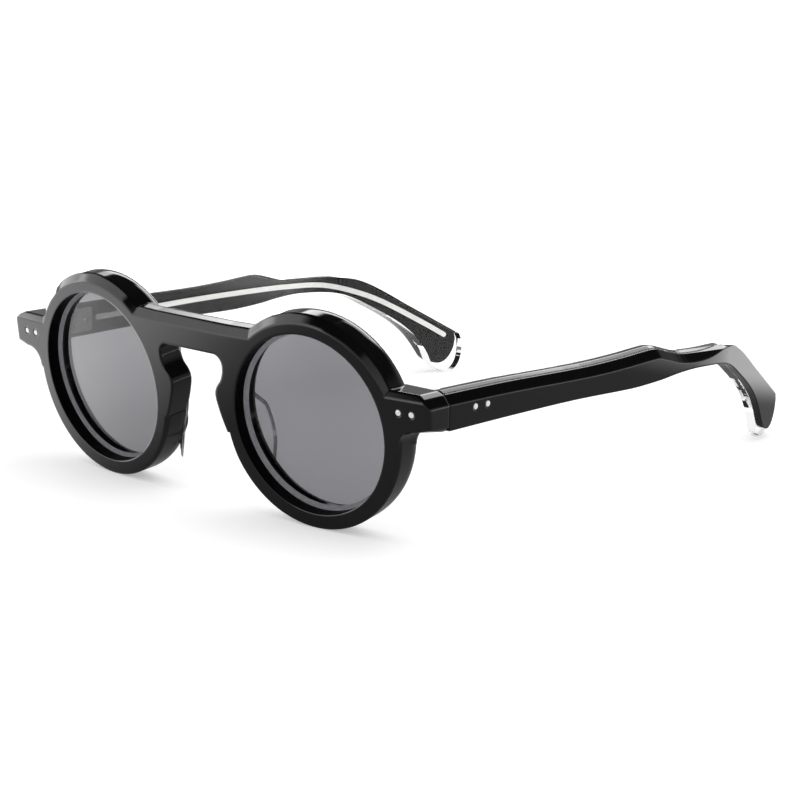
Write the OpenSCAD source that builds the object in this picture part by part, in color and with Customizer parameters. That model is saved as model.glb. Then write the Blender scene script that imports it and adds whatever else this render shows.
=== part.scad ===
// Round sunglasses with a keyhole bridge, laminated temples and riveted barrel hinges.
// X runs to the wearer's left, Y from the front back to the tips, Z up.
// The part stands on the two rims and the two tips, as on a table.

/* [Front] */
// Clear diameter of each lens opening
opening_d = 41; // [38:0.5:44]
// Distance between the two lens openings at the bridge
bridge_w = 25.4; // [24:0.2:28]
// Width of the rim around an opening at its sides
rim_w = 3.9; // [3.6:0.1:4.3]
// How far the outside circle of a rim sits above the opening's centre
rim_rise = 0.5; // [0.2:0.1:0.9]
// Depth of the rims from their face to their back
front_t = 8; // [7.4:0.1:8.4]
// Depth of the bridge
bridge_t = 6.2; // [5.6:0.1:6.6]
// Angle by which each half of the front turns back
wrap_deg = 4.5; // [2:0.5:6]
// Angle by which the top of the front leans forward on the table
lean_deg = 8.25; // [6:0.25:9]
// Top of the straight bridge bar above the lens centres
bar_top = 19.6; // [18:0.2:20.4]
// Top of the keyhole notch above the lens centres
key_top = 12.7; // [11.5:0.1:14]
// Half width of the keyhole notch at its widest
key_half = 9.9; // [9.3:0.1:10.3]
// Half width of the notch at its pinch
pinch_half = 7; // [6:0.1:8]
// Height of the soft bevel along the top of the front
bevel_h = 1.9; // [1.2:0.1:2.2]
// Depth of that bevel
bevel_d = 1.6; // [1:0.1:2]
// How far the rounding of the rims' back edge reaches in from their outside
back_r = 1.8; // [1:0.1:2.2]
// How far that rounding reaches along the rims' depth
back_d = 3.5; // [2:0.1:4]
// How far an endpiece reaches out beyond the side of its rim
end_reach = 8.6; // [8:0.1:9.6]

/* [Lenses] */
// Thickness of a lens
lens_t = 2; // [1.8:0.1:2.2]
// Depth of the lens front behind the face of the front
lens_recess = 2.9; // [2.4:0.1:3]
// How far a lens reaches into its groove
lens_bite = 0.6; // [0.4:0.1:0.8]
// Radius of the curved lens faces
lens_curve = 180; // [150:5:260]

/* [Temples] */
// Thickness of a temple over both layers
temple_t = 4.6; // [4.4:0.1:5]
// Thickness of the black outer layer
skin_t = 2; // [1.8:0.1:2.2]
// Length of the straight shank from the hinge to the hump
shank = 74; // [68:1:82]
// Angle by which a temple opens outwards
splay_deg = 1.5; // [0.5:0.1:2]
// Angle by which the tip turns in behind the ear
tip_in_deg = 15.5; // [12:0.5:16]
// Height of the big bevel along a temple's upper outside edge
cut_h = 1.9; // [1.5:0.1:2.2]
// Depth of that bevel across the temple
cut_d = 1.6; // [1.2:0.1:1.7]

/* [Hinges and rivets] */
// Outside diameter of a hinge barrel
barrel_d = 2.8; // [2.6:0.1:3]
// Height of the whole hinge barrel
barrel_h = 6; // [5.6:0.1:6.4]
// Diameter of the hinge screw's shank
screw_d = 1.3; // [1.2:0.05:1.4]
// Running clearance around that shank, on the radius
screw_fit = 0.04; // [0.02:0.01:0.08]
// Angle by which the hinge axes lean forward, so that folded temples cross downwards
axis_lean = 4.5; // [4:0.25:5]
// Thickness of the hinge plates
plate_t = 0.9; // [0.8:0.05:1]
// Diameter of a rivet
rivet_d = 1.5; // [1.3:0.1:1.7]
// Distance between the two rivets in the front
front_pitch = 3.4; // [3.2:0.1:3.8]
// Distance between the two rivets in a temple
temple_pitch = 4; // [3.6:0.1:4.4]
// Height of the flat core wire
wire_h = 1.4; // [1.2:0.1:1.8]
// Thickness of the core wire
wire_t = 1; // [0.8:0.1:1.1]

/* [Nose pads] */
// Height of a nose pad
pad_h = 21.6; // [19:0.2:23]
// Largest thickness of a nose pad
pad_t = 2.6; // [2.2:0.1:3]

/* [Hidden] */
$fn = 96;

// Small clearance between glued or pressed pieces
fit = 0.02;
// Gap at the seam between the front and an open temple
seam_gap = 0.15;
open_r = opening_d / 2;
rim_r = open_r + rim_w;
lens_x = open_r + bridge_w / 2;
// Line where the flat middle of the front meets the turned back halves
fold_x = 11.5;
fold_y = -(lens_x - fold_x) * tan(wrap_deg);
// Lens centre as seen from the flat middle
flat_x = fold_x + (lens_x - fold_x) / cos(wrap_deg);
// Height of the lens centres, with the rims' lower front edges on the table
lens_z = (rim_r - rim_rise) * cos(lean_deg) - 0.03;
// Height of the temples' middle line at the hinge
mid_z = lens_z + 7.25;
shape_k = mid_z / 30.9;
half_h = 4.1 * shape_k;
// Outer side of the endpieces and of the temples at the seam
side_x = lens_x + (rim_r + end_reach) * cos(wrap_deg) - 0.3;
seam_y = front_t + 0.2;
temple_y = seam_y + seam_gap;
// Hinge axis
axis_x = side_x - temple_t - 1.15;
axis_off = 0.25;
axis_y = seam_y + barrel_d / 2 + axis_off;
// Middle of the part along Y, so that the origin is the middle of its base
front_most = fold_y * cos(lean_deg) - (bar_top - bevel_h) * sin(lean_deg);
tip_reach = temple_y + shank + 73.66;
mid_y = (front_most + tip_reach) / 2;

// Smooth curve through the given points
function cr(a, b, c, d, t) = 0.5 * ((2 * b) + (c - a) * t + (2 * a - 5 * b + 4 * c - d) * t * t
    + (3 * b - a - 3 * c + d) * t * t * t);
function at(p, i) = p[max(0, min(len(p) - 1, i))];
function smooth(p, n) = [for (i = [0 : len(p) - 2]) for (k = [0 : n - 1])
    cr(at(p, i - 1), at(p, i), at(p, i + 1), at(p, i + 2), k / n)];
function lift(p) = [for (q = p) [q[0], q[1] * shape_k]];
function from_hump(p) = [for (q = p) [q[0] + shank, q[1] * shape_k]];
function flip(p) = [for (i = [len(p) - 1 : -1 : 0]) p[i]];

// Side view of a temple: Y from its front end, Z from its middle line at the hinge
top_shank = lift([[0, 4.1], [shank * 0.27, 4], [shank * 0.635, 3.35], [shank * 0.82, 3.5],
    [shank * 0.93, 3.85]]);
top_rear = from_hump([[0, 3.95], [3, 3.3], [10, 1.5], [18, 0.85], [27, 0.35], [32, -0.1], [37, -1.1],
    [42, -3.1], [48, -6.3], [53, -9.2], [60, -13.1], [72.2, -19.9]]);
low_shank = lift([[0, -4.1], [shank * 0.27, -3.85], [shank * 0.57, -3.8], [shank * 0.83, -4.3],
    [shank * 0.93, -4.25]]);
low_rear = from_hump([[2, -3.9], [8, -3.35], [16, -3.1], [26, -3.75], [32, -4.8], [37, -6.7], [42, -9.3],
    [47, -12], [52, -15.1], [56, -18.3], [59, -21.6], [61.2, -24.6]]);
end_clear = from_hump([[62.6, -27.4], [64.6, -29.6], [67.6, -30.86], [70.4, -30.4], [72.3, -28.4],
    [73.2, -25], [73, -21.6]]);
end_black = from_hump([[62.8, -26.7], [65.3, -28.1], [68, -28.3], [70.3, -27], [72, -24.4], [72.6, -21.6]]);
top_line = concat(smooth(concat(top_shank, top_rear), 4), [top_rear[len(top_rear) - 1]]);
function outline(e) = concat(top_line, flip(concat(smooth(concat(low_shank, low_rear, e), 4),
    [e[len(e) - 1]])));
wire_path = lift([[6, -0.1], [shank * 0.4, 0], [shank * 0.73, 0.05]]);
wire_rear = from_hump([[3, -0.4], [14, -0.9], [26, -1.8], [36, -4.3], [46, -8.2], [60, -15.6],
    [67.5, -19.9]]);

module lean() {
    translate([0, -mid_y, lens_z]) rotate([lean_deg, 0, 0]) children();
}
// Local frame of one half of the front: X outwards, Y behind the face, Z up, from the lens centre
module half_front() {
    translate([lens_x, 0, 0]) rotate([0, 0, wrap_deg]) children();
}
module mid_front() {
    translate([flat_x, fold_y, 0]) children();
}
module both_sides() {
    children();
    mirror([1, 0, 0]) children();
}
module turned() {
    rotate([90, 0, 0]) children();
}

// Solid disc of a rim, before its opening is bored
module rim_disc(grow = 0) {
    r = rim_r + grow;
    t = front_t + grow;
    s = 0.25;
    n = 10;
    back = [for (i = [0 : n]) [r - back_r * (1 - cos(i * 90 / n)), -(t - back_d + back_d * sin(i * 90 / n))]];
    difference() {
        translate([0, 0, rim_rise]) turned() rotate_extrude()
            polygon(concat([[0, 0], [r - s, 0], [r, -s]], back, [[0, -t]]));
        rim_bevel(grow);
    }
}
// The rims' bevel is a cone set lower than the rim, so it is broad at the top and fades below
module rim_bevel(grow = 0) {
    drop = 0.85;
    k = bevel_h / bevel_d;
    rf = rim_r + grow + drop - bevel_h;
    translate([0, 0, rim_rise - drop]) turned() rotate_extrude()
        polygon([[rf - k, 1], [rf + 4 * k, -4], [rf + 14, -4], [rf + 14, 1]]);
}
// Bridge bar seen from its end: Y behind the face, Z up
module bar_profile() {
    polygon([[0, 0], [0, bar_top - bevel_h], [bevel_d, bar_top], [bridge_t - 1.7, bar_top],
        [bridge_t - 0.5, bar_top - 0.5], [bridge_t, bar_top - 1.6], [bridge_t, 0]]);
}
module bar(x0, x1) {
    translate([x0, 0, 0]) rotate([90, 0, 90]) linear_extrude(height = x1 - x0) bar_profile();
}
// Right edge of the keyhole notch, from its top to where it runs into the rim
module key_outline() {
    r = 2.5;
    edge = [[key_half, key_top - r], [key_half - 0.15, key_top - r - 1.5], [key_half - 0.9, 6.8],
        [pinch_half + 0.75, 5.3], [pinch_half + 0.05, 3.9], [pinch_half + 0.05, 2.4],
        [pinch_half + 0.6, 0.2], [pinch_half + 1.5, -2.4], [pinch_half + 2.7, -5.2]];
    side = concat(smooth(edge, 4), [edge[len(edge) - 1]]);
    polygon(concat(side, [[0, -5.2], [0, key_top], [key_half - r, key_top], [key_half - r, key_top - r]]));
    translate([key_half - r, key_top - r]) circle(r = r);
}
// Endpiece with the same section as the temple behind it and a fillet down into the rim
fillet_r = 4.2;
fillet_x = lens_x + rim_r + 3.7;
module endpiece() {
    zc = mid_z;
    low = -half_h - fillet_r;
    // Inner end, inside the lens opening, which cuts it away
    inner_x = lens_x + 15;
    // Lower edge of the bevel on the face, above the lens centres
    edge_v = 9.55;
    difference() {
        intersection() {
            // Section across X and Z, level with the table
            translate([0, 30 - mid_y, zc]) rotate([90, 0, 0]) linear_extrude(height = 60) difference() {
                polygon([[inner_x, low - 8], [fillet_x - fillet_r, low], [fillet_x, low], [fillet_x, -half_h],
                    [side_x - 0.8, -half_h], [side_x, -half_h + 0.8], [side_x, half_h - cut_h - 0.7],
                    [side_x - cut_d, half_h - 0.7], [side_x - 2 * cut_d, half_h], [inner_x, half_h]]);
                translate([fillet_x, low]) circle(r = fillet_r);
            }
            // Plan, leaning with the front: face, rounded corner and side
            lean() end_plan();
            // Bevel along the top of the face
            lean() half_front() rotate([90, 0, 90]) linear_extrude(height = 80, center = true)
                polygon([[-0.01, -20], [-0.01, edge_v], [bevel_d, edge_v + bevel_h],
                    [bevel_d * 4, edge_v + bevel_h * 4], [30, edge_v + bevel_h * 4], [30, -20]]);
            // Cut square where the temple starts
            translate([lens_x + 10, seam_y - 40 - mid_y, 0]) cube([60, 40, 80]);
        }
        // Underside rising to the corner
        translate([side_x, corner_y - mid_y, zc - half_h + corner_lift])
            rotate([-atan(corner_lift / 7), 0, 0]) rotate([0, -atan(corner_lift / (side_x - fillet_x)), 0])
                translate([fillet_x - side_x, -20, -10]) cube([30, 40, 10]);
    }
}
corner_lift = 1.3;
corner_y = 1.2;
module end_plan() {
    r = 0.9;
    k = tan(wrap_deg);
    // Centre of the corner rounding, r from the side and r from the turned back face
    cxr = side_x - r;
    cyr = (cxr - lens_x) * k + r / cos(wrap_deg);
    x0 = lens_x + 15;
    translate([0, 0, -20]) linear_extrude(height = 50) union() {
        polygon([[x0, (x0 - lens_x) * k], [cxr + r * sin(wrap_deg), cyr - r * cos(wrap_deg)],
            [side_x, cyr], [side_x, 20], [x0, 20]]);
        translate([cxr, cyr]) circle(r = r);
    }
}
module front_solid() {
    lean() {
        // Flat middle
        intersection() {
            union() {
                mid_front() rim_disc();
                translate([0, fold_y, 0]) bar(-1, fold_x + 2);
                translate([0, fold_y, 0]) turned() translate([0, 0, -bridge_t])
                    linear_extrude(height = bridge_t) difference() {
                        translate([-1, -5.2]) square([13.5, 19]);
                        key_outline();
                    }
            }
            translate([-1, -10, -40]) cube([fold_x + 1.03, 30, 80]);
        }
        // Turned back half
        intersection() {
            half_front() union() {
                rim_disc();
                bar(-(lens_x - fold_x) - 3, -10);
            }
            translate([fold_x, -10, -40]) cube([80, 40, 80]);
        }
    }
    endpiece();
}
// V groove for the lens
module groove(extra = 0) {
    g = lens_bite + extra;
    c = lens_recess + lens_t / 2;
    turned() rotate_extrude()
        polygon([[0, -(c - 0.9)], [open_r + 0.01, -(c - 0.9)], [open_r + g, -(c - 0.2)],
            [open_r + g, -(c + 0.2)], [open_r + 0.01, -(c + 0.9)], [0, -(c + 0.9)]]);
}
// Rivets run from the face of the front to the back of the hinge plate
rivet_u = rim_r + 0.3;
rivet_v = 6.7;
module front_rivet_spots() {
    lean() half_front() for (i = [0, 1]) {
        translate([rivet_u + i * front_pitch, 0, rivet_v]) children();
    }
}
// Rivet along +Z from its shank's end: domed head, then shank
module rivet(len, grow = 0) {
    hr = rivet_d / 2 + grow;
    sr = rivet_d * 0.32 + grow;
    dome = 0.14;
    ball = (hr * hr + dome * dome) / (2 * dome);
    intersection() {
        union() {
            cylinder(r = sr, h = len);
            translate([0, 0, len - 0.7 - grow]) cylinder(r = hr, h = 1 + 2 * grow);
        }
        translate([0, 0, len + dome - ball + (grow > 0 ? 1 : 0)]) sphere(r = ball + 8);
        union() {
            cylinder(r = sr + 1, h = len - 0.3);
            translate([0, 0, len + dome - ball + (grow > 0 ? 1 : 0)]) sphere(r = ball);
        }
    }
}
module front_rivet_pair(grow = 0) {
    intersection() {
        front_rivet_spots() translate([0, 11, 0]) rotate([90, 0, 0]) rivet(11, grow);
        translate([0, seam_y - 60 - mid_y + grow, 0]) cube([90, 60, 80]);
    }
}
// Hinge levels: the front leaf has knuckles 0, 2 and 4, the temple leaf 1 and 3
lev = barrel_h / 5;
slack = 0.06;
leaf_h = barrel_h;
module knuckle(i) {
    translate([0, 0, -barrel_h / 2 + i * lev + slack / 2]) children();
}
module at_axis() {
    translate([axis_x, axis_y - mid_y, mid_z]) rotate([axis_lean, 0, 0]) children();
}
module front_leaf_plate(grow = 0) {
    w0 = rivet_u + lens_x - 2.4;
    w1 = side_x - 2.4;
    translate([w0 - grow, seam_y - plate_t - grow - mid_y, mid_z - leaf_h / 2 - grow])
        cube([w1 - w0 + 2 * grow, plate_t + grow + (grow > 0 ? 1 : 0), leaf_h + 2 * grow]);
}
module screw_bore() {
    at_axis() cylinder(r = screw_d / 2 + screw_fit, h = 20, center = true);
}
module front_hinge() {
    color("silver") difference() {
        union() {
            front_leaf_plate();
            at_axis() for (i = [0, 2, 4]) knuckle(i) {
                cylinder(d = barrel_d, h = lev - slack);
                translate([-barrel_d / 2, -barrel_d / 2 - axis_off - plate_t / 2, 0])
                    cube([barrel_d / 2, barrel_d / 2 + axis_off + plate_t / 2, lev - slack]);
            }
        }
        screw_bore();
        front_rivet_pair(fit);
    }
}
module hinge_screw() {
    top = barrel_h / 2 + 0.1;
    color("silver") at_axis() difference() {
        union() {
            translate([0, 0, -barrel_h / 2 - 0.3]) cylinder(d = screw_d, h = barrel_h + 0.5);
            translate([0, 0, top]) cylinder(d1 = barrel_d - 0.4, d2 = barrel_d - 0.9, h = 0.55);
        }
        translate([-2, -0.15, top + 0.25]) cube([4, 0.3, 1]);
    }
}
module front_frame() {
    color("black") both_sides() difference() {
        front_solid();
        // Keyhole notch
        lean() translate([0, fold_y + 30, 0]) turned() linear_extrude(height = 40) union() {
            key_outline();
            translate([-1.5, -5.2]) square([2, key_top + 5.2]);
        }
        // Lens opening and its groove
        lean() half_front() {
            turned() cylinder(r = open_r, h = 60, center = true);
            groove(0.03);
        }
        front_leaf_plate(fit);
        front_rivet_pair(fit);
    }
}
module lens() {
    c = lens_recess + lens_t / 2;
    sag = lens_curve - sqrt(lens_curve * lens_curve - open_r * open_r);
    color("gray", 0.5) lean() half_front() turned() union() {
        rotate_extrude() intersection() {
            translate([0, sag - lens_recess - lens_curve]) difference() {
                circle(r = lens_curve, $fn = 1440);
                circle(r = lens_curve - lens_t, $fn = 1440);
            }
            translate([0, -20]) square([open_r - 0.02, 25]);
        }
        rotate_extrude() polygon([[open_r - 1, -(c - 0.7)], [open_r - 0.1, -(c - 0.7)],
            [open_r + lens_bite, -(c - 0.1)], [open_r + lens_bite, -(c + 0.1)], [open_r - 0.1, -(c + 0.7)],
            [open_r - 1, -(c + 0.7)]]);
    }
}
// Almond shaped pad on the back of a rim's nose side. Its plane is Y and Z of its own frame
pad_yaw = 42;
pad_roll = 14;
pad_k = pad_h / 21.6;
pad_rear = [for (q = [[-1.2, 10.2], [0.8, 9.6], [2, 7.9], [3, 6.5], [3.8, 5.2], [4.2, 3.2], [4.3, 0.1],
    [4.1, -2.2], [3.7, -4.2], [2.9, -6.6], [2.1, -9], [1, -11], [-0.6, -11.9]]) q * pad_k];
pad_root = [for (q = [[-2, -11.2], [-2.8, -8], [-3, 0], [-2.8, 6], [-2.2, 9]]) q * pad_k];
module pad_body() {
    // Both faces bulge, so that the pad is about half as thick along its edge
    face_r = pad_h * pad_h / 4 / (0.5 * pad_t);
    intersection() {
        rotate([0, 90, 0]) rotate_extrude() intersection() {
            translate([0, face_r - pad_t / 2]) circle(r = face_r, $fn = 720);
            translate([0, pad_t / 2 - face_r]) circle(r = face_r, $fn = 720);
            translate([0, -pad_t]) square([pad_h * 0.7, 2 * pad_t]);
        }
        rotate([90, 0, 90]) linear_extrude(height = 4 * pad_t, center = true)
            polygon(concat(smooth(pad_rear, 3), [pad_rear[len(pad_rear) - 1]], pad_root));
    }
}
module nose_pad() {
    color("white", 0.3) difference() {
        lean() translate([fold_x + 0.2, fold_y + front_t, -6.3]) rotate([0, -pad_roll, 0])
            rotate([0, 0, -pad_yaw]) pad_body();
        front_solid();
    }
}
// Temple frame: X outwards from the outer face, Y along it from the seam, Z from its middle line
module temple_place() {
    translate([side_x, temple_y - mid_y, mid_z]) rotate([0, 0, -splay_deg]) children();
}
bend_y = shank + 14;
bend_r = 70;
// Plan of everything that lies more than t inside the temple's outer face
module plan_inside(t) {
    a = tip_in_deg;
    r = bend_r - t;
    vy = bend_y + r * tan(a / 2);
    n = [cos(a), sin(a)];
    t2 = [-bend_r + r * n[0], bend_y + r * n[1]];
    far = [-t - 120 * sin(a), vy + 120 * cos(a)];
    difference() {
        polygon([[-60, -5], [-t, -5], [-t, vy], far, [-90, far[1]]]);
        difference() {
            polygon([[-t, bend_y], [-t + 1, bend_y], [-t + 1, vy + 0.5], t2 + n, t2]);
            translate([-bend_r, bend_y]) circle(r = r, $fn = 360);
        }
    }
}
// Slab between two depths below the outer face
module slab(t0, t1) {
    translate([0, 0, -50]) linear_extrude(height = 70) difference() {
        plan_inside(t0);
        plan_inside(t1);
    }
}
module side_view(points) {
    translate([-40, 0, 0]) rotate([90, 0, 90]) linear_extrude(height = 60) polygon(points);
}
// Everything below a face that slopes down outwards along the top line
module under_slope(drop, run, fall) {
    a = atan2(fall, run);
    c = cos(a);
    last = top_line[len(top_line) - 1];
    pts = concat([[-2, (top_line[0][1] - drop) * c]], [for (p = top_line) [p[0], (p[1] - drop) * c]],
        [[last[0] + 6, (last[1] - drop) * c], [last[0] + 6, -70], [-2, -70]]);
    rotate([0, a, 0]) translate([-60, 0, 0]) rotate([90, 0, 90]) linear_extrude(height = 120) polygon(pts);
}
module big_cut() {
    under_slope(cut_h + 0.7, cut_d, cut_h);
}
module top_cut() {
    under_slope(1.4, cut_d, 0.7);
}
// Temple leaf plate in the inner face, with the rivets through it
leaf_y0 = axis_y - temple_y + 1.9;
leaf_len = 11.2;
temple_rivet_y = 8.3;
module temple_plate(grow = 0) {
    translate([-temple_t - (grow > 0 ? 1 : 0), leaf_y0 - grow, -leaf_h / 2 - grow])
        cube([plate_t + grow + (grow > 0 ? 1 : 0), leaf_len + 2 * grow, leaf_h + 2 * grow]);
}
module temple_rivet_pair(grow = 0) {
    for (i = [0, 1]) translate([-temple_t, temple_rivet_y + i * temple_pitch, 0]) rotate([0, 90, 0])
        rivet(temple_t, grow);
}
module temple_skin() {
    color("black") temple_place() difference() {
        intersection() {
            slab(0, skin_t);
            side_view(outline(end_black));
            big_cut();
            top_cut();
        }
        temple_rivet_pair(fit);
    }
}
function tangent(p, i) = at(p, i + 1) - at(p, i - 1);
function beside(p, i, h) = p[i] + h * [-tangent(p, i)[1], tangent(p, i)[0]] / norm(tangent(p, i));
wire_line = concat(smooth(concat(wire_path, wire_rear), 4), [wire_rear[len(wire_rear) - 1]]);
wire_in = skin_t + (temple_t - skin_t - wire_t) / 2;
leaf_end = leaf_y0 + leaf_len;
module wire_solid(grow = 0) {
    p = [for (q = wire_line) if (q[0] > leaf_end + 0.4) q];
    h = wire_h / 2 + grow;
    n = len(p) - 1;
    intersection() {
        slab(wire_in - grow, wire_in + wire_t + grow);
        translate([-40, 0, 0]) rotate([90, 0, 90]) union() {
            linear_extrude(height = 60)
                polygon(concat([for (i = [0 : n]) beside(p, i, h)],
                    [for (i = [n : -1 : 0]) beside(p, i, -h)]));
            translate([p[n][0], p[n][1], 0]) cylinder(r = h * 0.97, h = 60);
        }
    }
}
module core_wire() {
    color("silver") temple_place() wire_solid();
}
module temple_liner() {
    color("white", 0.3) difference() {
        temple_place() difference() {
            intersection() {
                slab(skin_t + fit, temple_t);
                side_view(outline(end_clear));
                top_cut();
            }
            temple_plate(fit);
            temple_rivet_pair(fit);
            wire_solid(fit);
        }
        // Room for the hinge barrel
        at_axis() cylinder(r = barrel_d / 2 + 0.15, h = 30, center = true);
        at_axis() translate([-3, 0, -leaf_h / 2 - fit])
            cube([3 + side_x - axis_x - temple_t + plate_t + fit, leaf_y0 + 0.4, leaf_h + 2 * fit]);
    }
}
module temple_hinge() {
    color("silver") difference() {
        union() {
            temple_place() temple_plate();
            at_axis() for (i = [1, 3]) knuckle(i) {
                cylinder(d = barrel_d, h = lev - slack);
                translate([-0.3, 0, 0])
                    cube([side_x - temple_t + plate_t - axis_x - 0.15 + 0.3, 2.4, lev - slack]);
            }
        }
        screw_bore();
        temple_place() temple_rivet_pair(fit);
    }
}
module front_rivets() {
    color("silver") front_rivet_pair();
}
module temple_rivets() {
    color("silver") temple_place() temple_rivet_pair();
}
// The wearer's left is +X
module right_of() {
    mirror([1, 0, 0]) children();
}
module lens_left() {
    lens();
}
module lens_right() {
    right_of() lens();
}
module nose_pad_left() {
    nose_pad();
}
module nose_pad_right() {
    right_of() nose_pad();
}
module front_hinge_left() {
    front_hinge();
}
module front_hinge_right() {
    right_of() front_hinge();
}
module hinge_screw_left() {
    hinge_screw();
}
module hinge_screw_right() {
    right_of() hinge_screw();
}
module front_rivets_left() {
    front_rivets();
}
module front_rivets_right() {
    right_of() front_rivets();
}
module temple_left() {
    temple_skin();
}
module temple_right() {
    right_of() temple_skin();
}
module temple_liner_left() {
    temple_liner();
}
module temple_liner_right() {
    right_of() temple_liner();
}
module core_wire_left() {
    core_wire();
}
module core_wire_right() {
    right_of() core_wire();
}
module temple_hinge_left() {
    temple_hinge();
}
module temple_hinge_right() {
    right_of() temple_hinge();
}
module temple_rivets_left() {
    temple_rivets();
}
module temple_rivets_right() {
    right_of() temple_rivets();
}
front_frame();
lens_left();
lens_right();
nose_pad_left();
nose_pad_right();
front_hinge_left();
front_hinge_right();
hinge_screw_left();
hinge_screw_right();
front_rivets_left();
front_rivets_right();
temple_left();
temple_right();
temple_liner_left();
temple_liner_right();
core_wire_left();
core_wire_right();
temple_hinge_left();
temple_hinge_right();
temple_rivets_left();
temple_rivets_right();
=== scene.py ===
import math

import bpy
from mathutils import Matrix, Vector

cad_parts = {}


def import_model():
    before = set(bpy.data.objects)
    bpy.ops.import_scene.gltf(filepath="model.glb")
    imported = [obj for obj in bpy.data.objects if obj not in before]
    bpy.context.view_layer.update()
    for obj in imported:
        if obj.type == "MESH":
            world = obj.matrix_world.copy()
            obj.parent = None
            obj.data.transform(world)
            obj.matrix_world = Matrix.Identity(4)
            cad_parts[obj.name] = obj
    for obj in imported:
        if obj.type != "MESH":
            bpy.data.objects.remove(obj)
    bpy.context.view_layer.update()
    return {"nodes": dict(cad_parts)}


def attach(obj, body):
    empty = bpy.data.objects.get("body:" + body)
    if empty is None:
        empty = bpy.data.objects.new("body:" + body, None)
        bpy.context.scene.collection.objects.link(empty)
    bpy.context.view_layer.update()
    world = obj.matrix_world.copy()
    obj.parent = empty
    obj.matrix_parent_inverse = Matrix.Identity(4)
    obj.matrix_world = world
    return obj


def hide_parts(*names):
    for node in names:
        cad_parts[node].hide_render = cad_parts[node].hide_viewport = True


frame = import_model()
scene = bpy.context.scene

SIDES = ("left", "right")

# The front's placing, in millimetres, as in the part's source
WRAP = math.radians(4.5)
LEAN = math.radians(8.25)
OPEN_R = 20.5
RIM_R = OPEN_R + 3.9
RIM_RISE = 0.5
LENS_X = 33.2
FRONT_T = 8.0
FOLD_X = 11.5
FOLD_Y = -(LENS_X - FOLD_X) * math.tan(WRAP)
LENS_Z = (RIM_R - RIM_RISE) * math.cos(LEAN) - 0.03
MID_Y = 75.8899
# The real front is one gentle curve: this many radians per metre, or 0.13 degrees per millimetre
FRONT_CURVE = 2.269

# Milled faces of a lens opening lie within this radius and between these depths
MILLED_R = OPEN_R + 0.8
MILLED_DEPTHS = (0.05, 4.7)
# The clear tips start at this y
TIP_START = 60
# Least share of its direction by which a face looks inward or up
INWARD = 0.85
UPWARD = 0.45

# Lenses: both faces are parts of spheres, and the edge is a blunt V in the groove
LENS_CURVE = 180.0
LENS_T = 2.0
LENS_RECESS = 2.9
LENS_BITE = 0.6
LENS_GAP = 0.02
VEE_FOOT = 0.6
VEE_TIP = 0.1
LENS_STEPS = 14
GROUND_RING = 0.95

# Nose pads: the rear and the root side of the outline, as (towards the rear, up)
PAD_REAR = [
    (-1.2, 10.2), (0.8, 9.6), (2.0, 7.9), (3.0, 6.5), (3.8, 5.2), (4.2, 3.2), (4.3, 0.1),
    (4.1, -2.2), (3.7, -4.2), (2.9, -6.6), (2.1, -9.0), (1.0, -11.0), (-0.6, -11.9),
]
PAD_ROOT = [(-2.0, -11.2), (-2.8, -8.0), (-3.0, 0.0), (-2.8, 6.0), (-2.2, 9.0)]
PAD_MIDDLE = (0.6, -0.6)
# How far a pad stands off its middle plane: at its crown, at the start of its edge, and behind
PAD_CROWN = 1.3
PAD_EDGE = 0.62
PAD_BACK = 0.05
PAD_OUT = 0.2
PAD_DROP = 6.3
PAD_ROLL = math.radians(-14)
PAD_YAW = math.radians(-42)

# Rivets: (radius, depth) of the head, whose fine dark ring is the gap to its seat
RIVET_HEAD = [
    (0.0, -0.1), (0.25, -0.099), (0.45, -0.092), (0.56, -0.07), (0.62, -0.02), (0.65, 0.06),
    (0.66, 0.2), (0.66, 0.65),
]
HEAD_END = 0.68
SHANK_R = 0.46
# A front pair starts this far out and up from the lens's middle, a temple pair this far back
FRONT_RIVET_OUT = RIM_R + 0.3
FRONT_RIVET_UP = 6.7
FRONT_PITCH = 3.4
FRONT_RIVET_L = 6.6
TEMPLE_RIVET_BACK = 8.3
TEMPLE_PITCH = 4.0
TEMPLE_RIVET_L = 4.5
# Where the outer face of a temple starts, and how far it splays
TEMPLE_X = 65.7983
TEMPLE_Y = 8.35
TEMPLE_UP = 7.25
SPLAY = math.radians(-1.5)

# Half the width over which a softbox fades: in degrees around, and in the direction's height
BOX_TURN = 3
BOX_RISE = 0.03


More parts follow.
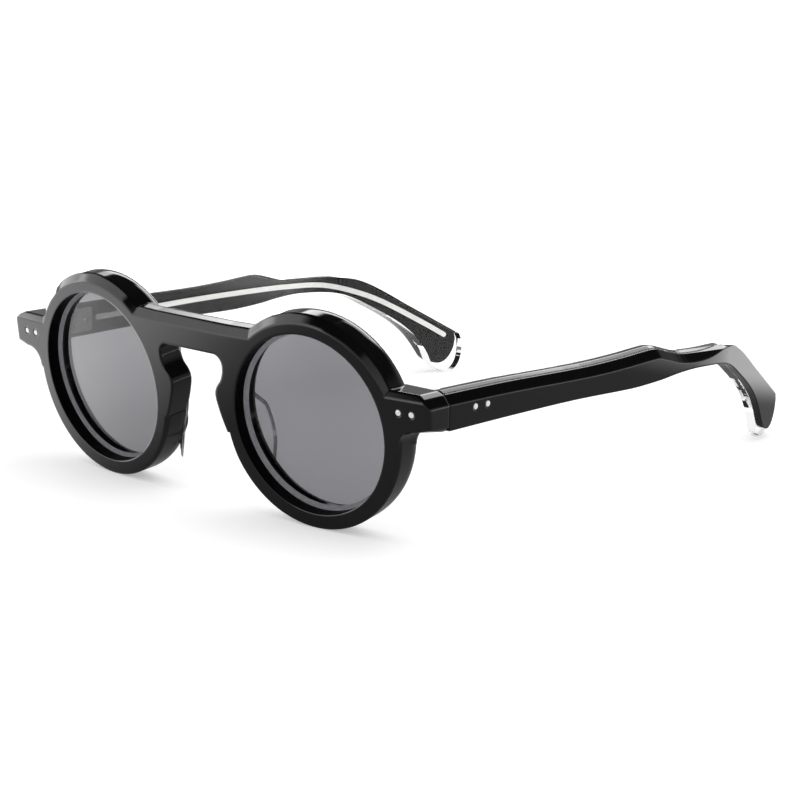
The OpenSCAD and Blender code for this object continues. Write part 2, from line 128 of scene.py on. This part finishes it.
class Graph:
    """Short names for building one node tree."""

    def __init__(self, tree):
        tree.nodes.clear()
        self.tree = tree

    def add(self, kind, inputs=None, **settings):
        node = self.tree.nodes.new(kind)
        for key, value in settings.items():
            setattr(node, key, value)
        for key, value in (inputs or {}).items():
            self.set(node, key, value)
        return node

    def set(self, node, key, value):
        if isinstance(value, bpy.types.NodeSocket):
            self.tree.links.new(value, node.inputs[key])
        else:
            node.inputs[key].default_value = value

    def position(self):
        return self.add("ShaderNodeTexCoord").outputs["Object"]

    def noise(self, vector, scale, detail, rough=0.5, stretch=None):
        if stretch:
            inputs = {"Vector": vector, "Scale": stretch}
            vector = self.add("ShaderNodeMapping", inputs).outputs["Vector"]
        inputs = {"Vector": vector, "Scale": scale, "Detail": detail, "Roughness": rough}
        return self.add("ShaderNodeTexNoise", inputs).outputs["Fac"]

    def map(self, value, start, end, low, high, kind="LINEAR"):
        inputs = {"Value": value, "From Min": start, "From Max": end, "To Min": low, "To Max": high}
        return self.add("ShaderNodeMapRange", inputs, interpolation_type=kind).outputs["Result"]

    def span(self, noise, low, high):
        """The middle of a noise, spread over a range."""
        return self.map(noise, 0.3, 0.7, low, high)

    def ramp(self, value, start, end, low, high):
        return self.map(value, start, end, low, high, "SMOOTHSTEP")

    def tone(self, noise, low, high):
        """A colour that a noise moves between two others."""
        node = self.add("ShaderNodeMix", data_type="RGBA")
        # The factor and the two colours of this node
        for index, value in ((0, self.span(noise, 0.0, 1.0)), (6, rgb(*low)), (7, rgb(*high))):
            self.set(node, index, value)
        return node.outputs[2]

    def math(self, kind, a, b=0.0):
        return self.add("ShaderNodeMath", {0: a, 1: b}, operation=kind).outputs[0]

    def vector(self, kind, a, b=(0.0, 0.0, 0.0), output="Vector"):
        return self.add("ShaderNodeVectorMath", {0: a, 1: b}, operation=kind).outputs[output]

    def bump(self, height, distance, normal=None):
        inputs = {"Height": height, "Distance": distance, "Strength": 1.0}
        if normal is not None:
            inputs["Normal"] = normal
        return self.add("ShaderNodeBump", inputs).outputs["Normal"]

    def by_ray(self, for_seen, for_glossy, for_rest):
        """A value for camera and transmitted rays, one for glossy rays and one for the rest."""
        path = self.add("ShaderNodeLightPath").outputs
        seen = self.math("MAXIMUM", path["Is Camera Ray"], path["Is Transmission Ray"])
        glossy = path["Is Glossy Ray"]
        rest = self.math("SUBTRACT", 1.0, self.math("MAXIMUM", seen, glossy))
        only_glossy = self.math("MULTIPLY", glossy, self.math("SUBTRACT", 1.0, seen))
        total = self.math("MULTIPLY", rest, for_rest)
        total = self.math("ADD", total, self.math("MULTIPLY", seen, for_seen))
        return self.math("ADD", total, self.math("MULTIPLY", only_glossy, for_glossy))

    def output(self, shader, kind="ShaderNodeOutputMaterial"):
        self.add(kind, {"Surface": shader})

    def principled(self, inputs):
        self.output(self.add("ShaderNodeBsdfPrincipled", inputs).outputs["BSDF"])


def rgb(r, g, b):
    return (r, g, b, 1.0)


def start_material(name):
    """A material, its graph, and the position that its textures are laid out in."""
    mat = bpy.data.materials.new(name)
    mat.use_nodes = True
    g = Graph(mat.node_tree)
    return mat, g, g.position()


def black_acetate(name, round_edge, curved=False):
    mat, g, place = start_material(name)
    cloud = g.noise(place, 55.0, 2.0)
    hair = g.noise(place, 300.0, 4.0, 0.6, (1.0, 14.0, 14.0))
    # Polished edges are softly rounded
    normal = g.add("ShaderNodeBevel", {"Radius": round_edge}, samples=16).outputs["Normal"]
    if curved:
        # The two flat halves are shaded as the one gentle curve that they stand for
        x = g.add("ShaderNodeSeparateXYZ", {"Vector": place}).outputs["X"]
        turned = g.math("GREATER_THAN", g.math("ABSOLUTE", x), FOLD_X / 1000)
        turned = g.math("MULTIPLY", g.math("MULTIPLY", g.math("SIGN", x), turned), WRAP)
        angle = g.math("SUBTRACT", g.math("MULTIPLY", x, FRONT_CURVE), turned)
        inputs = {"Vector": normal, "Angle": angle}
        normal = g.add("ShaderNodeVectorRotate", inputs, rotation_type="Z_AXIS").outputs["Vector"]
    g.principled({
        "Base Color": g.tone(cloud, (0.0020, 0.0020, 0.0023), (0.0036, 0.0036, 0.0040)),
        "Roughness": g.math("ADD", g.span(hair, 0.035, 0.07), g.span(cloud, 0.0, 0.02)),
        "IOR": 1.5,
        "Normal": g.bump(g.noise(place, 110.0, 1.0), 0.000007, normal),
    })
    return mat


def matte_black():
    """Milled faces inside the lens openings and under the clear layer."""
    mat, g, place = start_material("milled_black")
    marks = g.noise(place, 900.0, 3.0, 0.5, (1.0, 0.2, 1.0))
    g.principled({
        "Base Color": g.tone(marks, (0.0008, 0.0008, 0.0010), (0.0018, 0.0018, 0.0020)),
        "Roughness": g.span(marks, 0.45, 0.6),
        "Specular IOR Level": 0.04,
        "Normal": g.bump(marks, 0.000003),
    })
    return mat


def clear_acetate(name, low, high):
    mat, g, place = start_material(name)
    cloud = g.noise(place, 80.0, 2.0)
    g.principled({
        "Base Color": g.tone(cloud, (low, low, low), (high, high, high)),
        "Roughness": g.span(cloud, 0.0, 0.008),
        "IOR": 1.48,
        "Specular Tint": rgb(0.6, 0.6, 0.6),
        "Transmission Weight": 1.0,
        "Normal": g.bump(g.noise(place, 60.0, 1.0), 0.000006),
    })
    return mat


def smoke_lens():
    mat, g, place = start_material("smoke_lens")
    cloud = g.noise(place, 30.0, 1.0)
    g.principled({
        "Base Color": g.tone(cloud, (0.206, 0.203, 0.215), (0.220, 0.216, 0.230)),
        "Roughness": g.span(g.noise(place, 900.0, 2.0), 0.0, 0.012),
        "IOR": 1.5,
        "Specular Tint": rgb(0.45, 0.45, 0.45),
        "Transmission Weight": 1.0,
        "Normal": g.bump(g.noise(place, 45.0, 1.0), 0.000004),
    })
    return mat


def lens_edge_painted_glow():
    mat, g, place = start_material("lens_edge_painted_glow")
    marks = g.noise(place, 1500.0, 3.0)
    g.principled({
        "Base Color": g.tone(marks, (0.62, 0.62, 0.63), (0.78, 0.78, 0.79)),
        # Painted glow, standing in for light that the lens carries to its ground edge
        "Emission Color": rgb(0.96, 0.96, 1.0),
        "Emission Strength": g.span(marks, 0.10, 0.15),
        "Roughness": g.span(marks, 0.5, 0.7),
        "Specular IOR Level": 0.1,
        "Normal": g.bump(marks, 0.000004),
    })
    return mat


def metal(name, dark, light, rough, stretch, scale=700.0, metallic=1.0):
    mat, g, place = start_material(name)
    lines = g.noise(place, scale, 3.0, 0.6, stretch)
    cloud = g.noise(place, 400.0, 2.0)
    g.principled({
        "Base Color": g.tone(lines, dark, light),
        "Metallic": metallic,
        "Roughness": g.math("ADD", g.span(cloud, 0.0, 0.06), g.span(lines, rough, rough * 1.5)),
        "Normal": g.bump(lines, 0.000003),
    })
    return mat


black_front = black_acetate("black_front", 0.0008, True)
black_temple = black_acetate("black_temple", 0.0005)
milled = matte_black()
clear = clear_acetate("clear_acetate", 0.97, 0.99)
# The pads' rounded edges get a darker clear finish, as painted shade
pad_edge_painted_shade = clear_acetate("clear_pad_edge_painted_shade", 0.2, 0.3)
lens = smoke_lens()
ground = lens_edge_painted_glow()
steel = metal("hinge_steel", (0.50, 0.49, 0.47), (0.66, 0.65, 0.63), 0.2, (1.0, 1.0, 9.0))
# Near-white and mostly not metallic: the rivets' brightness is a painted reflection of a bright
# surround
rivet = metal("rivet_metal", (0.93, 0.93, 0.92), (0.99, 0.99, 0.98), 0.25, None, 1200.0, 0.12)
core = metal("core_metal", (0.74, 0.73, 0.71), (0.88, 0.87, 0.85), 0.22, (1.0, 0.06, 1.0))


def finish_all():
    """Gives each node the finish that goes with the start of its name."""
    by_start = [
        ("front_frame", black_front), ("front_hinge", steel), ("front_rivets", rivet),
        ("hinge_screw", steel), ("lens_", lens), ("nose_pad", clear), ("core_wire", core),
        ("temple_liner", clear), ("temple_hinge", steel), ("temple_rivets", rivet),
        ("temple_", black_temple),
    ]
    for name, obj in frame["nodes"].items():
        mat = next(m for start, m in by_start if name.startswith(start))
        obj.data.materials.clear()
        obj.data.materials.append(mat)


# Placing
def turn(axis, angle):
    return Matrix.Rotation(angle, 4, axis)


def move(x, y, z):
    return Matrix.Translation((x, y, z))


def lean():
    """Sets what is drawn upright, with the front's face at y = 0, leaning in its place."""
    return move(0, -MID_Y, LENS_Z) @ turn("X", LEAN)


def half_front():
    """The same for what is drawn around the middle of the left lens opening."""
    return lean() @ move(LENS_X, 0, 0) @ turn("Z", WRAP)


# Faces with a finish of their own
def mark_faces(node, mat, chosen):
    mesh = frame["nodes"][node].data
    mesh.materials.append(mat)
    for poly in mesh.polygons:
        if chosen(Vector(poly.center) * 1000, poly.normal):
            poly.material_index = 1


def in_opening(point, normal):
    """The wall of a lens opening in front of the lens, and the lens groove."""
    local = half_front().inverted() @ Vector((abs(point.x), point.y, point.z))
    start, end = MILLED_DEPTHS
    return math.hypot(local.x, local.z) < MILLED_R and start < local.y < end


def top_edge(point, normal):
    """The clear layer's top edge ahead of the tip, given the black finish as painted shade, since
    it looks black like the layer beside it.
    """
    return normal.z > UPWARD and point.y < TIP_START


def mark_all():
    mark_faces("front_frame", milled, in_opening)
    for side, way in zip(SIDES, (-1, 1)):
        mark_faces("temple_" + side, milled, lambda point, normal: way * normal.x > INWARD)
        # The clear layer's top edge gets the black finish as painted shade
        mark_faces("temple_liner_" + side, black_temple, top_edge)


# Pieces in place of nodes
def make_piece(name, points, faces, place, mats, side, node, body="front", mat_of=None,
               sharp=35.0):
    """A mesh given in millimetres, placed on the left (+X) side or mirrored to the right.

    mat_of gives the index in mats of a face's finish.
    """
    mirror = Matrix.Scale(-1, 4, (1, 0, 0)) if side == "right" else Matrix.Identity(4)
    whole = Matrix.Scale(0.001, 4) @ mirror @ place
    if whole.determinant() < 0:
        faces = [tuple(reversed(f)) for f in faces]
    mesh = bpy.data.meshes.new(name)
    mesh.from_pydata([whole @ Vector(p) for p in points], [], faces)
    for mat in mats:
        mesh.materials.append(mat)
    mesh.polygons.foreach_set("use_smooth", [True] * len(mesh.polygons))
    if mat_of:
        mesh.polygons.foreach_set("material_index", [mat_of(i) for i in range(len(faces))])
    mesh.set_sharp_from_angle(angle=math.radians(sharp))
    obj = bpy.data.objects.new(name, mesh)
    scene.collection.objects.link(obj)
    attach(obj, body)
    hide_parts(node)


def close_loops(first, loops, last):
    """Closed mesh over equal loops from one end point to the other, and each face's band."""
    count = len(loops[0])
    points = [first] + [p for loop in loops for p in loop] + [last]
    end = 1 + (len(loops) - 1) * count
    faces = []
    bands = []
    for k in range(count):
        n = (k + 1) % count
        faces.append((0, 1 + k, 1 + n))
        for a in range(1, end, count):
            faces.append((a + k, a + count + k, a + count + n, a + n))
        faces.append((end + k, len(points) - 1, end + n))
        bands += range(len(loops) + 1)
    return points, faces, bands


def revolve(rings, count):
    """Closed mesh around the Y axis from (radius, y) rings whose first and last radius is 0."""
    angles = [2 * math.pi * k / count for k in range(count)]
    loops = [[(r * math.cos(a), y, r * math.sin(a)) for a in angles] for r, y in rings[1:-1]]
    return close_loops((0, rings[0][1], 0), loops, (0, rings[-1][1], 0))


def lens_rings():
    """Rings from the middle of the front face, over the edge's blunt V, to that of the rear."""
    edge_r = OPEN_R - LENS_GAP
    tip_r = OPEN_R + LENS_BITE
    middle = LENS_RECESS + LENS_T / 2
    centre = LENS_RECESS + math.sqrt(LENS_CURVE**2 - OPEN_R**2)
    radii = [edge_r * i / LENS_STEPS for i in range(LENS_STEPS + 1)]
    front = [(r, centre - math.sqrt(LENS_CURVE**2 - r**2)) for r in radii]
    vee = [(edge_r, middle - VEE_FOOT), (tip_r, middle - VEE_TIP)]
    vee += [(tip_r, middle + VEE_TIP), (edge_r, middle + VEE_FOOT)]
    radii[-1:] = [edge_r - GROUND_RING, edge_r]
    back = [(r, centre - math.sqrt((LENS_CURVE - LENS_T) ** 2 - r**2)) for r in reversed(radii)]
    return front + vee + back


def make_lenses():
    points, faces, bands = revolve(lens_rings(), 128)
    # The edge's five bands and the ring behind it are ground
    ground_bands = range(LENS_STEPS, LENS_STEPS + 6)
    for side in SIDES:
        make_piece(
            "lens_body_" + side, points, faces, half_front(), [lens, ground], side,
            "lens_" + side, mat_of=lambda i: int(bands[i] in ground_bands),
            sharp=25.0,
        )


def smooth_loop(points, parts):
    """A closed smooth curve through the points, with as many parts between each two."""
    result = []
    count = len(points)
    for i in range(count):
        a, b, c, d = (Vector(points[(i + k) % count]) for k in (-1, 0, 1, 2))
        for k in range(parts):
            t = k / parts
            curve = 2 * b + (c - a) * t
            curve += (2 * a - 5 * b + 4 * c - d) * t * t
            curve += (3 * b - a - 3 * c + d) * t**3
            result.append(0.5 * curve)
    return result


def make_pads():
    """Clear almonds with rounded edges, set into the back of the rims."""
    outline = smooth_loop(PAD_REAR + PAD_ROOT, 6)
    middle = Vector(PAD_MIDDLE)
    # Share of the way out from the middle, and how far the crowned face stands off there
    crown = [(0.25, 1.26), (0.5, 1.14), (0.7, 0.96), (0.82, 0.8)]
    arc = [math.radians(90 - i * 15) for i in range(7)]
    round_share = [0.86 + 0.14 * math.cos(a) for a in arc]
    rings = crown + [(s, PAD_EDGE * math.sin(a)) for s, a in zip(round_share, arc)]
    back = [(s, -PAD_BACK) for s, _ in crown]
    back += [(s, -PAD_BACK * math.sin(a)) for s, a in zip(round_share[:-1], arc)]
    rings += reversed(back)
    loops = []
    for share, x in rings:
        spots = [middle + (q - middle) * share for q in outline]
        loops.append([(x, v.x, v.y) for v in spots])
    points, faces, bands = close_loops((PAD_CROWN, *middle), loops, (-PAD_BACK, *middle))
    # Bands between two rings of the rounded edge get a darker clear finish: painted shade
    edge_bands = range(len(crown) + 1, len(rings) - len(crown))
    place = lean() @ move(FOLD_X + PAD_OUT, FOLD_Y + FRONT_T, -PAD_DROP)
    place = place @ turn("Y", PAD_ROLL) @ turn("Z", PAD_YAW)
    for side in SIDES:
        make_piece(
            "pad_body_" + side, points, faces, place, [clear, pad_edge_painted_shade], side,
            "nose_pad_" + side, mat_of=lambda i: int(bands[i] in edge_bands),
        )


def make_rivets(kind, place, spots, length, side, body):
    rings = RIVET_HEAD + [(SHANK_R, HEAD_END), (SHANK_R, length), (0.0, length)]
    points, faces, _ = revolve(rings, 40)
    all_points, all_faces = [], []
    for spot in spots:
        base = len(all_points)
        all_points += [spot @ Vector(p) for p in points]
        all_faces += [tuple(i + base for i in f) for f in faces]
    make_piece(
        kind + "_pair_" + side, all_points, all_faces, place, [rivet], side, kind + "_" + side,
        body, sharp=40.0,
    )


def make_all_rivets():
    front_spots = [
        move(FRONT_RIVET_OUT + i * FRONT_PITCH, 0, FRONT_RIVET_UP) for i in (0, 1)
    ]
    temple_spots = [
        move(0, TEMPLE_RIVET_BACK + i * TEMPLE_PITCH, 0) @ turn("Z", math.radians(90))
        for i in (0, 1)
    ]
    temple = move(TEMPLE_X, TEMPLE_Y - MID_Y, LENS_Z + TEMPLE_UP) @ turn("Z", SPLAY)
    for side in SIDES:
        make_rivets("front_rivets", half_front(), front_spots, FRONT_RIVET_L, side, "front")
        make_rivets(
            "temple_rivets", temple, temple_spots, TEMPLE_RIVET_L, side, side + "_temple"
        )


# Studio
def camera():
    """The photo's viewpoint, as its place and the ways that its right, up and back point."""
    cam = bpy.data.cameras.new("camera")
    cam.sensor_width = 36.0
    cam.lens = 99.615
    cam.clip_start = 0.01
    cam.clip_end = 50.0
    obj = bpy.data.objects.new("camera", cam)
    scene.collection.objects.link(obj)
    right = Vector((0.75594446, 0.65414517, 0.02533904))
    up = Vector((-0.1641232, 0.15190933, 0.97467283))
    back = Vector((0.63372829, -0.74095725, 0.22219541))
    axes = Matrix((right, up, back)).transposed().to_4x4()
    obj.matrix_world = move(0.349632, -0.415542, 0.135547) @ axes
    scene.camera = obj


def world():
    """White to the camera, and a studio with softboxes and a dark ceiling in reflections."""
    sky = bpy.data.worlds.new("studio")
    sky.use_nodes = True
    g = Graph(sky.node_tree)
    way = g.add("ShaderNodeTexCoord").outputs["Generated"]
    height = g.add("ShaderNodeSeparateXYZ", {"Vector": way}).outputs["Z"]
    flat = g.vector("NORMALIZE", g.vector("MULTIPLY", way, (1.0, 1.0, 0.0)))
    # The walls get darker towards the ceiling
    studio = g.ramp(height, 0.2, 0.5, 0.35, 0.02)
    # Bearing in degrees from +X, half width, lowest and highest direction, and level
    for bearing, wide, low, high, level in (
        (119, 22, 0.36, 0.54, 4.0), (105, 12, 0.5, 0.68, 2.6), (220, 30, -0.2, 0.62, 1.7),
        (182, 22, 0.05, 0.4, 2.0), (285, 45, 0.1, 0.52, 0.5),
    ):
        aim = (math.cos(math.radians(bearing)), math.sin(math.radians(bearing)), 0.0)
        toward = g.vector("DOT_PRODUCT", flat, aim, "Value")
        outer, inner = (math.cos(math.radians(wide + d)) for d in (BOX_TURN, -BOX_TURN))
        box = g.ramp(toward, outer, inner, 0.0, level)
        box = g.math("MULTIPLY", box, g.ramp(height, low - BOX_RISE, low + BOX_RISE, 0.0, 1.0))
        box = g.math("MULTIPLY", box, g.ramp(height, high - BOX_RISE, high + BOX_RISE, 1.0, 0.0))
        studio = g.math("ADD", studio, box)
    light = {"Color": rgb(1, 1, 1), "Strength": g.by_ray(1.0, studio, 0.78)}
    g.output(g.add("ShaderNodeBackground", light).outputs[0], "ShaderNodeOutputWorld")
    scene.world = sky


def floor():
    """White paper, which shines white to the camera and shows painted light and painted shade in
    reflections.
    """
    half = 4.0
    corners = [(-half, -half, 0), (half, -half, 0), (half, half, 0), (-half, half, 0)]
    mesh = bpy.data.meshes.new("floor")
    mesh.from_pydata(corners, [], [(0, 1, 2, 3)])
    obj = bpy.data.objects.new("floor", mesh)
    # Just below the feet, so that no two faces lie in one plane
    obj.location.z = -0.00002
    scene.collection.objects.link(obj)
    mat, g, place = start_material("floor_paper")
    part = g.add("ShaderNodeSeparateXYZ", {"Vector": place}).outputs
    paper = g.span(g.noise(place, 35.0, 3.0), 0.90, 0.92)
    # Reflections see the paper four times darker: painted shade
    paper = g.math("MULTIPLY", paper, g.by_ray(1.0, 0.25, 1.0))
    tint = g.add("ShaderNodeCombineColor", {"Red": paper, "Green": paper, "Blue": paper})
    diffuse = g.add("ShaderNodeBsdfDiffuse", {"Color": tint.outputs[0]})
    # To the camera the floor shines, more away from the part, which keeps it white; in reflections
    # there is painted light left of the part and far behind it
    white = g.ramp(g.vector("LENGTH", place, output="Value"), 0.1, 0.4, 0.36, 0.55)
    left = g.ramp(part["X"], -0.015, -0.115, 0.1, 1.9)
    rear = g.ramp(part["Y"], 0.11, 0.155, 0.0, 1.6)
    glow = g.by_ray(white, g.math("ADD", left, rear), 0.0)
    lit = g.add("ShaderNodeEmission", {"Color": rgb(1, 1, 1), "Strength": glow})
    both = g.add("ShaderNodeAddShader", {0: diffuse.outputs[0], 1: lit.outputs[0]})
    g.output(both.outputs[0])
    mesh.materials.append(mat)


def lamp():
    """A soft square lamp overhead, aimed at the part."""
    data = bpy.data.lights.new("top_softbox", "AREA")
    data.shape = "RECTANGLE"
    data.size = 0.9
    data.size_y = 0.9
    data.energy = 2.2
    obj = bpy.data.objects.new("top_softbox", data)
    obj.location = (0.1, 0.25, 0.9)
    obj.rotation_euler = (-obj.location).to_track_quat("-Z", "Y").to_euler()
    scene.collection.objects.link(obj)
    # It only lights: mirror-like faces show the studio instead
    obj.visible_glossy = False


finish_all()
mark_all()
make_lenses()
make_pads()
make_all_rivets()
camera()
world()
floor()
lamp()
scene.view_settings.view_transform = "Standard"
